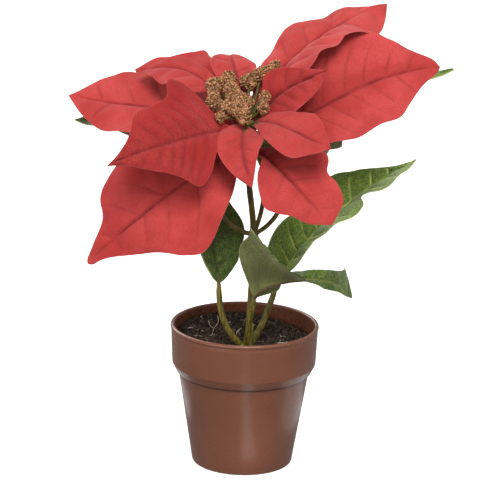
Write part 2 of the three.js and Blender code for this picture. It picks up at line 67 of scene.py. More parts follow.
# Routes: length in mm, heading seen from above (0 is +X, 90 is +Y) and climb, in degrees.
STEMS = {
    "left": dict(at=(-1, -8), length=45, heading=200, climb=(40, 60, 80, 90)),
    "front": dict(at=(1, -10), length=37, heading=290, climb=(75, 65)),
    "right": dict(at=(3, -7), length=40, heading=35, climb=(45, 65, 70)),
    "stub": dict(at=(3.5, -9), length=15, heading=280, climb=80),
}
CROTCH = (4, -10, 146)
MAIN_STEM = [(2, -7, 75), (3, -5, 100), CROTCH, (1, -12, 175)]
PETIOLES = {
    "left": dict(length=38, heading=205, climb=(10, 45, 90)),
    "right": dict(length=37, heading=(20, 60, 100), climb=(65, 80)),
    "back": dict(length=31, heading=(20, 60), climb=(20, 60)),
}

# Blades: midrib route, roll, outline as (percent of the length, half width) on each side, fold at
# the rib, curl towards the edge, where side veins leave the midrib on each side in percent, how
# deep they are pressed (1 if not given) and tone, from 0 for the darkest cloth to 1. A tone is
# partly the cloth's own colour and partly painted light and shade: blades that lie in shade have
# darker tones, blades that face the light lighter ones.
BRACTS = {
    "bract_right": dict(
        seat=(10, -2), length=120, heading=(10, 20, 5), climb=(20, 25, 5), roll=(30, 50, 50),
        left=[(10, 7), (30, 25), (50, 34), (70, 33), (80, 22), (90, 11), (97, 5)],
        right=[(10, 8), (25, 22), (40, 28), (55, 27), (70, 28), (80, 20), (90, 11), (97, 5)],
        fold=(10, 10), curl=(10, 12), veins=((25, 37, 50, 60, 72, 84), (20, 30, 40, 52, 63, 77)),
        pressed=0.75, tone=1.0),
    "bract_back_right": dict(
        seat=(45, -2), length=125, heading=(65, 50, 35, 25, 15), climb=(75, 40, 30, 25, 15),
        roll=10,
        left=[(10, 4), (30, 11), (50, 20), (60, 23), (70, 16), (80, 13), (90, 6)],
        right=[(10, 6), (25, 20), (40, 28), (50, 26), (60, 26), (70, 21), (80, 18), (88, 18), (95, 11)],
        fold=(8, (5, 15, 30, 30, 22, -15, -50)), curl=(14, 14),
        veins=((30, 42, 55, 70, 85), (25, 35, 47, 60, 75)), pressed=0.8, tone=0.9),
    "bract_back_left": dict(
        seat=(135, -8), length=105, heading=(120, 130, 135, 145), climb=(50, 10, 10, 0),
        roll=(-20, -45),
        left=[(10, 6), (30, 18), (50, 24), (70, 20), (90, 8)],
        right=[(10, 6), (30, 18), (50, 24), (60, 25), (70, 28), (80, 16), (90, 10)],
        fold=(10, 10), curl=(12, 12), veins=((30, 45, 60, 75), (30, 45, 60, 78)), pressed=0.6,
        tone=0.8),
    "bract_left": dict(
        seat=(175, -2), length=110, heading=(155, 165, 170), climb=(30, 5, 0, 10), roll=(-25, -35),
        left=[(10, 6), (30, 18), (50, 24), (70, 25), (80, 21), (90, 13)],
        right=[(10, 7), (30, 22), (50, 29), (70, 27), (80, 20), (90, 11)],
        fold=(8, 8), curl=(10, 10), veins=((35, 55, 75), (30, 45, 62, 80)), pressed=0.7, tone=0.9),
    "bract_front_left": dict(
        seat=(225, 3), length=95, heading=(230, 215, 210, 205), climb=(20, -5, -10, -20),
        roll=(-50, -55),
        left=[(10, 5), (20, 8), (30, 13), (40, 25), (50, 30), (60, 22), (80, 10), (90, 4)],
        right=[(10, 3), (20, 9), (30, 33), (40, 38), (47, 27), (60, 24), (70, 23), (80, 11), (90, 4)],
        fold=(8, 8), curl=(12, 12), veins=((30, 38, 46, 53, 62, 74), (25, 34, 42, 51, 61, 72, 84)),
        pressed=0.8, tone=0.0),
    "bract_low_left": dict(
        seat=(215, -8), length=120, heading=(240, 205, 190, 185), climb=(-5, -30, -40, -45),
        roll=(-20, -50, -50),
        left=[(10, 8), (30, 28), (50, 40), (60, 36), (70, 24), (90, 7), (98, 3)],
        right=[(10, 8), (30, 25), (50, 34), (65, 34), (75, 26), (80, 15), (90, 8), (98, 3)],
        fold=(5, 5), curl=(10, 10), veins=((18, 32, 50, 63, 80), (20, 35, 50, 65, 82)),
        pressed=0.75, tone=0.75),
    "bract_low_right": dict(
        seat=(310, -8), length=81, heading=(285, 310, 320, 335), climb=(10, -20, -35, -40),
        roll=(0, 25, 40),
        left=[(10, 5), (30, 16), (50, 27), (57, 27), (65, 21), (80, 19), (93, 14)],
        right=[(20, 3), (30, 6), (40, 15), (60, 24), (70, 22), (80, 14), (90, 9)],
        fold=(8, 8), curl=(14, 14), veins=((30, 42, 55, 72, 85), (35, 50, 65, 80)), pressed=0.5,
        tone=0.9),
    "bract_small_right": dict(
        seat=(15, 7), length=55, heading=(20, -5, 10), climb=(60, 45, 25, 25), roll=(45, 60, 60),
        left=[(20, 4), (30, 8), (40, 15), (50, 15), (70, 9), (90, 3)],
        right=[(10, 5), (20, 12), (35, 17), (50, 18), (70, 14), (90, 5)],
        fold=(12, 24), curl=(20, 20), veins=((30, 50, 68), (30, 45, 62)), pressed=0.8, tone=0.3),
    "bract_small_low_right": dict(
        seat=(330, 9), length=60, heading=(310, 320, 330), climb=(30, -5, -15, -15), roll=38,
        left=[(10, 4), (30, 10), (50, 15), (70, 14), (90, 6)],
        right=[(10, 5), (30, 12), (50, 16), (70, 17), (80, 15), (90, 10)],
        fold=(0, 12), curl=(20, 20), veins=((30, 52, 72), (28, 48, 70)), pressed=0.4, tone=0.5),
    "bract_small_front": dict(
        seat=(265, 9), length=51, heading=(255, 275, 315), climb=(0, -35, -65), roll=(-15, 40),
        left=[(10, 9), (20, 13.5), (40, 13), (60, 9), (80, 5)],
        right=[(10, 9), (20, 13), (40, 15), (60, 13), (80, 8)],
        fold=(8, 8), curl=(20, 20), veins=((30, 50, 70), (32, 52, 72)), pressed=0.4, tone=0.6),
    "bract_small_left": dict(
        seat=(165, 8), length=80, heading=(125, 145, 155, 170), climb=(20, 45, 5, -25), roll=-20,
        left=[(30, 3), (40, 10), (50, 16), (70, 19), (80, 15), (90, 9)],
        right=[(30, 3), (40, 6), (60, 10), (70, 11), (80, 8), (90, 4)],
        fold=(8, 8), curl=(20, 20), veins=((40, 55, 70), (45, 60, 75)), pressed=0.4, tone=0.7),
    "bract_small_back": dict(
        seat=(95, 9), length=60, heading=(110, 100), climb=(50, 40, 30, -25), roll=0,
        left=[(15, 3), (30, 6), (50, 12), (70, 14), (80, 12), (90, 6)],
        right=[(15, 3), (30, 6), (50, 11), (70, 14), (85, 8)],
        fold=(3, 0), curl=(20, 20), veins=((30, 50, 70), (35, 55, 75)), pressed=0.6, tone=0.8),
}

LEAVES = {
    "leaf_low_left": dict(
        stem="left", length=76, heading=(150, 105, 120, 135), climb=(80, 65, 60, 50), roll=-15,
        left=[(2, 3), (5, 5), (10, 6), (25, 9), (40, 14), (60, 14), (80, 9)],
        right=[(2, 5), (5, 8), (10, 11), (20, 15), (40, 20), (60, 14), (80, 8)],
        fold=(15, 15), curl=(15, 15), veins=((15, 27, 40, 55, 70), (12, 22, 31, 42, 55, 70)),
        tone=0.05),
    "leaf_front": dict(
        stem="front", length=84, heading=(-50, -15, -5, 40, 60, 60),
        climb=(50, 25, 5, -20, -35, -35), roll=(-90, -85, -25, 65, 65, 65),
        left=[(5, 5), (15, 12), (30, 14), (45, 8), (60, 7), (80, 12), (90, 16), (99, 20)],
        right=[(4, 12), (10, 27), (20, 34), (24, 42), (27, 27), (33, 14), (45, 6), (60, 5), (80, 4)],
        fold=((65, 65, 60, 40, 10, 0, 0, 0), 0), curl=(5, 5),
        veins=((12, 22, 34, 48, 62, 76, 88), (8, 17, 27, 40, 55, 70, 85)), tone=0.3),
    "leaf_right": dict(
        stem="right", length=117, heading=(45, 25, 15, 5), climb=(50, 42, 33, 30), roll=(25, 45),
        left=[(5, 9), (20, 21), (40, 19), (60, 22), (70, 15), (80, 9), (90, 3)],
        right=[(5, 4), (20, 14), (30, 8), (40, 20), (60, 24), (65, 11), (80, 20), (90, 14)],
        fold=(10, 50), curl=(15, 15),
        veins=((13, 20, 28, 36, 48, 60, 72, 83), (15, 30, 42, 55, 68, 80)), tone=0.85),
    "leaf_upper_right": dict(
        stem="petiole_right", length=142, heading=(60, 25, 25, 20, 15), climb=(60, 20, 20, 15, 10),
        roll=15,
        left=[(5, 8), (15, 14), (40, 20), (60, 16), (80, 8), (90, 4)],
        right=[(5, 3), (15, 18), (30, 35), (35, 29), (45, 19), (70, 10), (90, 5)],
        fold=(10, 10), curl=(15, 15), veins=((15, 30, 45, 60, 75), (12, 25, 38, 52, 66, 80)),
        tone=0.7),
    "leaf_upper_left": dict(
        stem="petiole_left", length=103, heading=(145, 155, 175), climb=(40, 20, 20, 0), roll=-25,
        left=[(10, 4), (30, 6), (50, 8), (70, 7), (87, 7)],
        right=[(10, 6), (30, 16), (50, 19), (70, 12), (87, 8)],
        fold=((50, 50, 50, 10), 10), curl=(15, 15),
        veins=((15, 30, 45, 60, 75), (15, 30, 45, 60, 75)), tone=0.2),
    "leaf_back": dict(
        stem="petiole_back", length=90, heading=(70, 80), climb=(45, 25, 10, -5), roll=0,
        left=[(10, 6), (30, 16), (50, 18), (70, 12), (90, 5)],
        right=[(10, 6), (30, 16), (50, 18), (70, 12), (90, 5)],
        fold=(10, 10), curl=(15, 15), veins=((15, 30, 45, 60, 75), (20, 35, 50, 65, 80)), tone=0.4),
}

# ---- Helpers ----


def along(values, t):
    """The value at fraction t of one value or of a list that runs evenly from 0 to 1."""
    values = np.atleast_1d(values)
    return np.interp(t, np.linspace(0, 1, len(values)), values)


def unit(v):
    return v / np.maximum(np.linalg.norm(v, axis=-1, keepdims=True), 1e-9)


def smoothstep(x):
    x = np.clip(x, 0, 1)
    return x * x * (3 - 2 * x)


def evenly(points, count, extend):
    """count evenly spaced points along a smooth curve through points."""
    points = np.asarray(points, float)
    ends = [2 * points[0] - points[1], 2 * points[-1] - points[-2]] if extend \
        else [points[0], points[-1]]
    p = np.vstack([ends[0], points, ends[1]])
    t = np.linspace(0, 1, 40, endpoint=False)[:, None]
    parts = []
    for k in range(len(points) - 1):
        p0, p1, p2, p3 = p[k:k + 4]
        m1, m2 = (p2 - p0) / 2, (p3 - p1) / 2
        parts.append((2 * t**3 - 3 * t**2 + 1) * p1 + (t**3 - 2 * t**2 + t) * m1
                     + (3 * t**2 - 2 * t**3) * p2 + (t**3 - t**2) * m2)
    curve = np.vstack([*parts, points[-1:]])
    steps = np.r_[0, np.cumsum(np.linalg.norm(np.diff(curve, axis=0), axis=1))]
    even = np.linspace(0, steps[-1], count)
    return np.column_stack([np.interp(even, steps, c) for c in curve.T])


def route(start, length, heading, climb):
    """Points along a line of this length from start."""
    points = [np.asarray(start, float)]
    for k in range(ROUTE_STEPS):
        t = (k + 0.5) / ROUTE_STEPS
        turn, rise = np.radians(along(heading, t)), np.radians(along(climb, t))
        step = np.array([np.cos(rise) * np.cos(turn), np.cos(rise) * np.sin(turn), np.sin(rise)])
        points.append(points[-1] + step * length / ROUTE_STEPS)
    return points


tilt = math.radians(BLOOM["tilt"])
bloom_centre = np.array(BLOOM["centre"], float)
bloom_axis = np.array([0, -math.sin(tilt), math.cos(tilt)])
bloom_back = np.array([0, math.cos(tilt), math.sin(tilt)])


def on_bloom(azimuth, height, out):
    angle = math.radians(azimuth)
    return (bloom_centre + bloom_axis * height + np.array([1.0, 0, 0]) * out * math.cos(angle)
            + bloom_back * out * math.sin(angle))


class Rail:
    """A smooth line with places and directions by distance in mm."""
    COUNT = 401

    def __init__(self, points):
        self.points = evenly(points, self.COUNT, True)
        self.length = np.linalg.norm(np.diff(self.points, axis=0), axis=1).sum()
        self.marks = np.linspace(0, self.length, self.COUNT)
        self.tangents = unit(np.gradient(self.points, axis=0))

    def place(self, s):
        return np.stack([np.interp(s, self.marks, c) for c in self.points.T], -1)

    def forward(self, s):
        return unit(np.stack([np.interp(s, self.marks, c) for c in self.tangents.T], -1))


def make_object(name, verts, faces, smooth=True, **attributes):
    """A mesh object from mm corners, with float attributes per corner."""
    mesh = bpy.data.meshes.new(name)
    mesh.from_pydata((np.asarray(verts) * MM).tolist(), [], faces)
    for key, values in attributes.items():
        mesh.attributes.new(key, "FLOAT", "POINT").data.foreach_set(
            "value", np.asarray(values, np.float32).ravel())
    mesh.polygons.foreach_set("use_smooth", np.full(len(mesh.polygons), smooth))
    mesh.update()
    obj = bpy.data.objects.new(name, mesh)
    bpy.context.scene.collection.objects.link(obj)
    return obj


def finish_piece(obj, material, slot, *replaced):
    obj.data.materials.append(material)
    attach(obj, "root")
    if replaced:
        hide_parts(*replaced)


# ---- Materials ----


def linear(colour):
    """Screen values from 0 to 255 as the linear colour that a socket takes."""
    parts = [c / 255 for c in colour]
    return (*[c / 12.92 if c <= 0.04045 else ((c + 0.055) / 1.055) ** 2.4 for c in parts], 1)


class Graph:
    """A procedural material and short ways to add nodes to it. A colour is a socket or three
    screen values from 0 to 255."""

    def __init__(self, name, roughness, specular=0.5, **sockets):
        self.material = bpy.data.materials.new(name)
        self.material.use_nodes = True
        self.tree = self.material.node_tree
        self.inputs = self.tree.nodes["Principled BSDF"].inputs
        self.inputs["Roughness"].default_value = roughness
        self.inputs["Specular IOR Level"].default_value = specular
        for key, value in sockets.items():
            self.inputs[key.replace("_", " ")].default_value = value
        self.spot = self.tree.nodes.new("ShaderNodeTexCoord").outputs["Object"]

    def feed(self, socket, value):
        if isinstance(value, bpy.types.NodeSocket):
            self.tree.links.new(value, socket)
        elif socket.type == "RGBA":
            socket.default_value = linear(value)
        else:
            socket.default_value = value

    def node(self, kind, inputs, output=0, **settings):
        node = self.tree.nodes.new(kind)
        for key, value in settings.items():
            setattr(node, key, value)
        for key, value in inputs.items():
            self.feed(node.inputs[key], value)
        return node.outputs[output]

    def math(self, operation, a, b=0):
        return self.node("ShaderNodeMath", {0: a, 1: b}, operation=operation)

    def times(self, a, b):
        return self.math("MULTIPLY", a, b)

    def part(self, vector, axis):
        return self.node("ShaderNodeSeparateXYZ", {0: vector}, axis)

    def attribute(self, name):
        return self.node("ShaderNodeAttribute", {}, "Fac", attribute_name=name)

    def fade(self, value, start, stop, low=0, high=1):
        return self.node("ShaderNodeMapRange", {0: value, 1: start, 2: stop, 3: low, 4: high},
                         interpolation_type="SMOOTHSTEP")

    def mix(self, factor, a, b):
        return self.node("ShaderNodeMix", {0: factor, 6: a, 7: b}, 2, data_type="RGBA")

    def shades(self, value, first, second, start=0.3, stop=0.7):
        """From the first colour to the second as value rises."""
        return self.mix(self.fade(value, start, stop), first, second)

    def laid(self, colour, *layers):
        """A colour under others, each given as (how strong it is, colour)."""
        for strength, over in layers:
            colour = self.mix(strength, colour, over)
        return colour

    def noise(self, scale, detail=3, roughness=0.55, vector=None):
        return self.node("ShaderNodeTexNoise", {
            "Vector": vector or self.spot, "Scale": scale, "Detail": detail,
            "Roughness": roughness}, "Fac")

    def net(self, scale, vector):
        """Distance to the borders of irregular cells."""
        return self.node("ShaderNodeTexVoronoi", {"Vector": vector, "Scale": scale},
                         "Distance", feature="DISTANCE_TO_EDGE")

    def done(self, colour, *bumps, roughness=None):
        """The finished material. A bump is (height, strength, distance in m)."""
        self.feed(self.inputs["Base Color"], colour)
        if roughness is not None:
            self.feed(self.inputs["Roughness"], roughness)
        entry = self.inputs["Normal"]
        for height, strength, distance in reversed(bumps):
            normal = self.node("ShaderNodeBump", {
                "Height": height, "Strength": strength, "Distance": distance}, "Normal")
            self.feed(entry, normal)
            entry = normal.node.inputs["Normal"]
        return self.material


def blade_lines(g, mid_width, vein_width):
    """The place on the flat blade, and how close it is to the midrib and to the side veins: 1 on
    them and 0 away. The widths are in mm."""
    uv = g.node("ShaderNodeUVMap", {}, "UV")
    mid = g.fade(g.math("ABSOLUTE", g.part(uv, 1)), 0, mid_width / UV_MM, 1, 0)
    wobble = g.times(g.math("SUBTRACT", g.noise(70, 2), 0.5), 0.25)
    apart = g.math("PINGPONG", g.math("ADD", g.attribute("phase"), wobble), 0.5)
    side = g.fade(g.times(apart, g.attribute("spacing")), 0, vein_width, 1, 0)
    return uv, g.times(mid, g.attribute("midfade")), g.times(side, g.attribute("fade"))


def bract_material():
    g = Graph("bract_velvet", 0.9, 0.14, Sheen_Weight=0.22, Sheen_Roughness=0.5,
              Sheen_Tint=(1, 0.6, 0.58, 1))
    uv, mid, side = blade_lines(g, 1.9, 1.8)
    tone, cloud = g.attribute("tone"), g.noise(32, 4)
    grain, nap = g.noise(1300, 3, 0.7), g.noise(3800, 2, 0.6)
    dark = g.shades(cloud, (140, 30, 29), (152, 36, 35))
    light = g.shades(cloud, (168, 49, 47), (196, 73, 71))
    # Painted shade: the cloth is darkened along the pressed midrib and side veins, more in some patches
    # than others.
    crease = g.math("MAXIMUM", g.times(mid, 0.75), g.times(side, 0.5))
    patchy = g.fade(g.noise(95, 3), 0.3, 0.62, 0.25)
    frost = g.times(g.fade(g.noise(45, 4, 0.6), 0.35, 0.75), g.fade(tone, 0, 1, 0.3, 0.12))
    frost = g.times(g.fade(g.noise(1200, 2, 0.7), 0.35, 0.65), frost)
    # Tone sets each bract between the dark and the light cloth: partly the cloth's own colour, partly
    # painted shade on bracts in shade and painted light on bracts facing the light.
    red = g.laid(
        g.mix(tone, dark, light),
        (g.fade(grain, 0.35, 0.65, 0.3, 0), (124, 30, 30)),
        (g.times(crease, patchy), (104, 24, 26)),
        (g.times(g.fade(nap, 0.45, 0.75), 0.16), (214, 104, 100)),
        (frost, (208, 98, 94)),
        (g.attribute("under"), g.shades(grain, (158, 42, 43), (176, 54, 53))),
        (g.fade(g.attribute("edge"), 0.3, 1, 0, 0.4), (206, 104, 98)))
    net = g.fade(g.net(20, uv), 0, 0.06)
    return g.done(red, (net, 0.16, 0.0002), (grain, 0.22, 0.0002), (nap, 0.3, 0.0001))


def leaf_material():
    g = Graph("leaf_cloth", 0.6, 0.32, Sheen_Weight=0.15, Sheen_Roughness=0.5)
    uv, mid, side = blade_lines(g, 1.2, 1.15)
    tone, phase = g.attribute("tone"), g.attribute("phase")
    cloud, grain = g.noise(48, 4), g.noise(1500, 3, 0.7)
    rows = g.fade(g.math("PINGPONG", g.times(phase, 9), 0.5), 0.05, 0.3, 1, 0)
    net = g.fade(g.net(30, uv), 0, 0.1, 1, 0)
    small_net = g.fade(g.net(70, uv), 0, 0.12, 1, 0)
    patch = g.times(net, g.fade(cloud, 0.35, 0.7, 0.2))
    # Painted shade: a dark band on one side of each side vein, where the quilted cloth lies in shade.
    shade_beside_veins = g.fade(g.math("FRACT", phase), 0, 0.45, 0.85, 0)
    lit = g.fade(tone, 0, 1, 0.26, 0.9)
    patchy = g.fade(g.noise(110, 3), 0.35, 0.62, 0.35)
    dark = g.shades(cloud, (28, 42, 14), (50, 72, 26))
    light = g.shades(cloud, (70, 102, 34), (112, 142, 58))
    # Tone sets each leaf between the dark and the light green and how strong its pale net is: partly
    # the cloth's own colour, partly painted shade on leaves in shade and painted light on leaves facing
    # the light.
    green = g.laid(
        g.mix(tone, dark, light),
        (g.times(shade_beside_veins, g.attribute("fade")), (30, 44, 18)),
        (g.times(rows, 0.25), (124, 152, 64)),
        (g.times(small_net, lit), (150, 176, 76)),
        (g.times(patch, lit), (160, 184, 74)),
        (g.fade(grain, 0.45, 0.7, 0, 0.3), (36, 52, 20)),
        (g.math("MAXIMUM", mid, g.times(side, patchy)), g.mix(tone, (52, 52, 20), (216, 230, 120))))
    out = g.math("ABSOLUTE", g.part(uv, 1))
    olive = g.shades(cloud, (72, 70, 26), (112, 114, 50), 0.35, 0.65)
    pale = g.laid(
        g.shades(cloud, (138, 142, 78), (182, 186, 122)),
        (g.fade(out, 0.06, 0.38, 0.95, 0), olive),
        (g.times(small_net, 0.8), (80, 88, 40)),
        (g.times(net, 0.5), (84, 92, 42)),
        (g.times(rows, 0.25), (164, 174, 124)),
        (g.times(side, 0.45), (84, 72, 34)),
        (mid, (86, 66, 34)))
    edge = g.fade(g.attribute("edge"), 0, 0.6, 0, 0.8)
    colour = g.laid(green, (g.attribute("under"), pale), (edge, (206, 204, 150)))
    return g.done(colour, (g.math("ADD", net, small_net), 0.3, 0.00025),
                  (rows, 0.25, 0.0002), (grain, 0.3, 0.00018))


def stem_material():
    g = Graph("stem_sleeve", 0.5, 0.4)
    high = g.part(g.spot, 2)
    drawn = g.node("ShaderNodeMapping", {"Vector": g.spot, "Scale": (1, 1, 0.12)})
    streak = g.noise(600, 3, vector=drawn)
    brown = g.shades(streak, (70, 56, 22), (122, 104, 46), 0.35, 0.65)
    # Painted light by curvature: painted shade in the furrows between the ridges and a painted
    # highlight on the ridge tops.
    painted_ridge_light_and_shade = g.node("ShaderNodeNewGeometry", {}, "Pointiness")
    colour = g.laid(
        g.shades(streak, (66, 58, 18), (130, 118, 46), 0.35, 0.65),
        (g.fade(high, 0.118, 0.142), brown),
        (g.fade(high, 0.188, 0.198), (60, 62, 30)),
        (g.fade(painted_ridge_light_and_shade, 0.44, 0.5, 0.7, 0), (46, 36, 16)),
        (g.fade(painted_ridge_light_and_shade, 0.5, 0.58, 0, 0.35), (150, 142, 64)),
        (g.fade(g.noise(900, 2), 0.6, 0.75, 0, 0.5), (52, 44, 24)))
    return g.done(colour, (streak, 0.4, 0.0004), roughness=g.fade(streak, 0.3, 0.7, 0.42, 0.6))


def crumb_material():
    g = Graph("crumb_coat", 0.72, 0.35)
    grain = g.noise(1100)
    colour = g.laid(
        g.mix(g.attribute("tone"), (92, 52, 30), (216, 160, 112)),
        (g.fade(grain, 0.4, 0.7, 0, 0.4), (104, 60, 36)),
        (g.attribute("green"), (120, 124, 58)))
    return g.done(colour, (grain, 0.5, 0.0003))


def pot_material():
    g = Graph("pot_plastic", 0.28)
    mottle = g.noise(420, 3, 0.65)
    speck = g.node("ShaderNodeTexVoronoi", {"Vector": g.spot, "Scale": 60}, "Distance")
    # Painted shade: a dark band round the pot in the step under the collar, 57.2 mm up.
    painted_step_shade = g.math("ABSOLUTE", g.math("SUBTRACT", g.part(g.spot, 2), 0.0572))
    brown = g.laid(
        g.shades(g.noise(18, 4), (118, 71, 52), (130, 80, 60)),
        (g.fade(mottle, 0.4, 0.75, 0, 0.3), (108, 60, 42)),
        (g.fade(speck, 0.02, 0.035, 0.5, 0), (172, 128, 104)),
        (g.fade(painted_step_shade, 0.0004, 0.0011, 0.75, 0), (52, 28, 20)))
    return g.done(brown, (mottle, 0.05, 0.0001), roughness=g.fade(mottle, 0.3, 0.7, 0.25, 0.34))


def soil_material():
    g = Graph("soil_crumb", 0.95, 0.15)
    grain = g.noise(700, 4)
    colour = g.laid(
        g.mix(g.attribute("tone"), (38, 29, 23), (112, 94, 78)),
        (g.fade(grain, 0.4, 0.7, 0, 0.5), (24, 18, 14)))
    return g.done(colour, (grain, 0.7, 0.0006))


def fibre_material():
    g = Graph("soil_fibre", 0.8)
    grain = g.noise(500)
    return g.done(g.shades(grain, (138, 118, 96), (226, 214, 194)), (grain, 0.3, 0.0001))


def floor_material():
    g = Graph("floor_paper", 0.9, 0.1, Emission_Strength=0.55, Emission_Color=(1, 1, 1, 1))
    return g.done(g.mix(g.noise(6, 2), (250, 250, 250), (254, 254, 254)))


# ---- Blades ----

BLADE = {"thickness": 0.5, "edge_thickness": 0.3, "edge_band": 0.7, "vein_angle": 65,
         "vein_bend": 0.007, "rib_radius": 0.85, "row": 1.15, "least_rows": 60, "sharp": 62}
COLUMNS = {"long": 26, "short": 18, "long_from": 70}
RELIEF = {
    "bract": dict(groove=0.9, crease=0.8, quilt=1.9, wave=1.2, wave_length=34, lump=2.0),
    "leaf": dict(groove=0.5, crease=0.5, quilt=1.5, wave=1.2, wave_length=26, lump=1.2),
}
UV_MM = 100                           # mm for each unit of the flat map
NEAR_RIB = [0.45, 1.0, 1.7, 2.6]      # mm from the midrib of the first columns of corners
ON_EDGE = 0.995                       # a corner further out than this share lies on the edge


def lumps(places, frequency, seed):
    """Smooth noise from about -1 to 1 at each place in mm."""
    spots = places.reshape(-1, 3) * frequency + seed
    return np.array([noise.noise(Vector(p)) for p in spots]).reshape(places.shape[:-1])


def vein_phase(u, marks):
    """Counts the side veins that leave before u mm, so it is whole on a vein."""
    first, last = marks[1] - marks[0], marks[-1] - marks[-2]
    knots = [marks[0] - 9 * first, *marks, marks[-1] + 9 * last]
    return np.interp(u, knots, [-9, *range(len(marks)), len(marks) + 8])


class Blade:
    """A blade as rows of corners along its midrib, from its left edge to its right one. s and a are
    a corner's mm along and out, and f is how far out it lies: 0 on the midrib, 1 on the edge."""

    def __init__(self, name, kind, spec, root, rng):
        self.name, self.spec, self.pressed = name, spec, spec.get("pressed", 1)
        self.rail = Rail(route(root, spec["length"], spec["heading"], spec["climb"]))
        self.length = self.rail.length
        self.rows = max(BLADE["least_rows"], int(self.length / BLADE["row"]))
        self.columns = COLUMNS["long" if self.length > COLUMNS["long_from"] else "short"]
        s_rib = np.linspace(0, self.length, self.rows + 1)[:self.rows]
        none = np.zeros(self.rows)
        parts = [self.half(s_rib, -1), (s_rib, none, none, *self.spots(s_rib, none, 1)),
                 self.half(s_rib, 1)]
        self.s, self.a, self.f, self.place, self.up = [
            np.concatenate([left[:, ::-1], rib[:, None], right], 1)
            for left, rib, right in zip(*parts)]
        self.side = np.r_[-np.ones(self.columns), 0, np.ones(self.columns)]
        self.set_veins()
        self.set_relief(RELIEF[kind], rng)

    def spots(self, s, a, side):
        """Where the corner s mm along and a mm out lies, and the upward direction there."""
        t = s / self.length
        forward = self.rail.forward(s)
        level = unit(UP - forward * (forward @ UP)[..., None])
        roll = np.radians(along(self.spec["roll"], t))[..., None]
        up = level * np.cos(roll) + np.cross(forward, level) * np.sin(roll)
        right = np.cross(forward, up)
        which = 0 if side < 0 else 1
        fold = np.radians(along(self.spec["fold"][which], t))
        curl = math.radians(self.spec["curl"][which]) / CURL_REACH
        out = (np.sin(fold) - np.sin(fold - curl * a)) / curl
        rise = (np.cos(fold - curl * a) - np.cos(fold)) / curl
        place = self.rail.place(s) + right * (side * out)[..., None] + up * rise[..., None]
        return place, up

    def half(self, s_rib, side):
        """s, a, f, place and upward direction of the corners on one side, from the midrib out."""
        outline = self.spec["left" if side < 0 else "right"]
        points = [(0, NECK)] + [(t / 100 * self.length, a) for t, a in outline] + [(self.length, 0)]
        edge = evenly(points, self.rows + 1, False)[:self.rows]
        reach = np.hypot(edge[:, 0] - s_rib, edge[:, 1])
        inner = np.minimum(1, reach / 6)[:, None] * np.array(NEAR_RIB)[None]
        share = np.linspace(0, 1, self.columns - len(NEAR_RIB))[None, 1:]
        outer = np.maximum(reach - BLADE["edge_band"], reach * 0.85)[:, None]
        middle = inner[:, -1:] + (outer - inner[:, -1:]) * share
        f = np.hstack([inner, middle, reach[:, None]]) / reach[:, None]
        s = s_rib[:, None] + (edge[:, :1] - s_rib[:, None]) * f
        a = edge[:, 1:] * f
        return (s, a, f, *self.spots(s, a, side))

    def set_veins(self):
        """Each corner's phase among the side veins, their spacing in mm and how deep they are."""
        left, right = [np.array(marks) / 100 * self.length for marks in self.spec["veins"]]
        slope = math.tan(math.radians(BLADE["vein_angle"]))
        u = self.s - self.a / slope - BLADE["vein_bend"] * self.a**2
        self.phase = np.where(self.side < 0, vein_phase(u, left), vein_phase(u, right))
        spacing = np.where(self.side < 0, np.diff(left).mean(), np.diff(right).mean())
        self.spacing = np.broadcast_to(spacing, self.f.shape)
        last = np.where(self.side < 0, len(left), len(right)) - 0.5
        ends = smoothstep((self.phase + 0.5) * 5) * smoothstep((last - self.phase) * 5)
        self.fade = (ends * self.pressed * (1 - smoothstep((self.f - 0.55) / 0.4))
                     * smoothstep(self.a / 2.5))

    def set_relief(self, look, rng):
        """How far each corner is raised: quilting between pressed veins, waves and lumps."""
        seed = rng.uniform(0, 50, 3)
        start = rng.uniform(0, 6.3)
        uneven = 0.7 + 0.9 * lumps(self.place, 0.05, seed)
        apart = (self.phase - np.round(self.phase)) * self.spacing
        crease = np.exp(-(apart / 1.3) ** 2) * self.fade * uneven
        groove = np.exp(-(self.a / 1.2) ** 2) * (1 - smoothstep((self.s / self.length - 0.75) / 0.2))
        quilt = (np.abs(np.sin(np.pi * self.phase))
                 * np.sin(np.pi * np.clip(self.f, 0, 1) ** 0.7) * uneven)
        ripple = np.sin(2 * np.pi * self.s / look["wave_length"] + self.side * 1.3 + start)
        lump = lumps(self.place, 0.055, seed + 9) + 0.35 * lumps(self.place, 0.14, seed)
        self.relief = (
            look["quilt"] * self.pressed * quilt - look["crease"] * crease
            - look["groove"] * groove
            + look["wave"] * ripple * self.f**2 * np.clip(self.a / 15, 0, 1)
            + look["lump"] * lump * np.clip(self.a / 10, 0, 1))

    def corners(self):
        """The upper corners and the tip, then the lower ones, which hold the wire's rib."""
        normal = unit(np.cross(np.gradient(self.place, axis=1), np.gradient(self.place, axis=0)))
        normal *= np.sign((normal * self.up).sum(-1, keepdims=True))
        thick = np.where(self.f > ON_EDGE, BLADE["edge_thickness"], BLADE["thickness"]) / 2
        radius = BLADE["rib_radius"] * (1 - 0.75 * self.s / self.length)
        wire = np.sqrt(np.clip(radius**2 - self.a**2, 0, None)) + 0.1 * (self.a < radius)
        upper = self.place + normal * (self.relief + thick)[..., None]
        lower = self.place + normal * (self.relief - thick - wire)[..., None]
        tip = self.rail.place(self.length)
        tip_up = unit(self.up[-1, self.columns]) * 0.1
        return np.vstack([upper.reshape(-1, 3), tip + tip_up, lower.reshape(-1, 3), tip - tip_up])

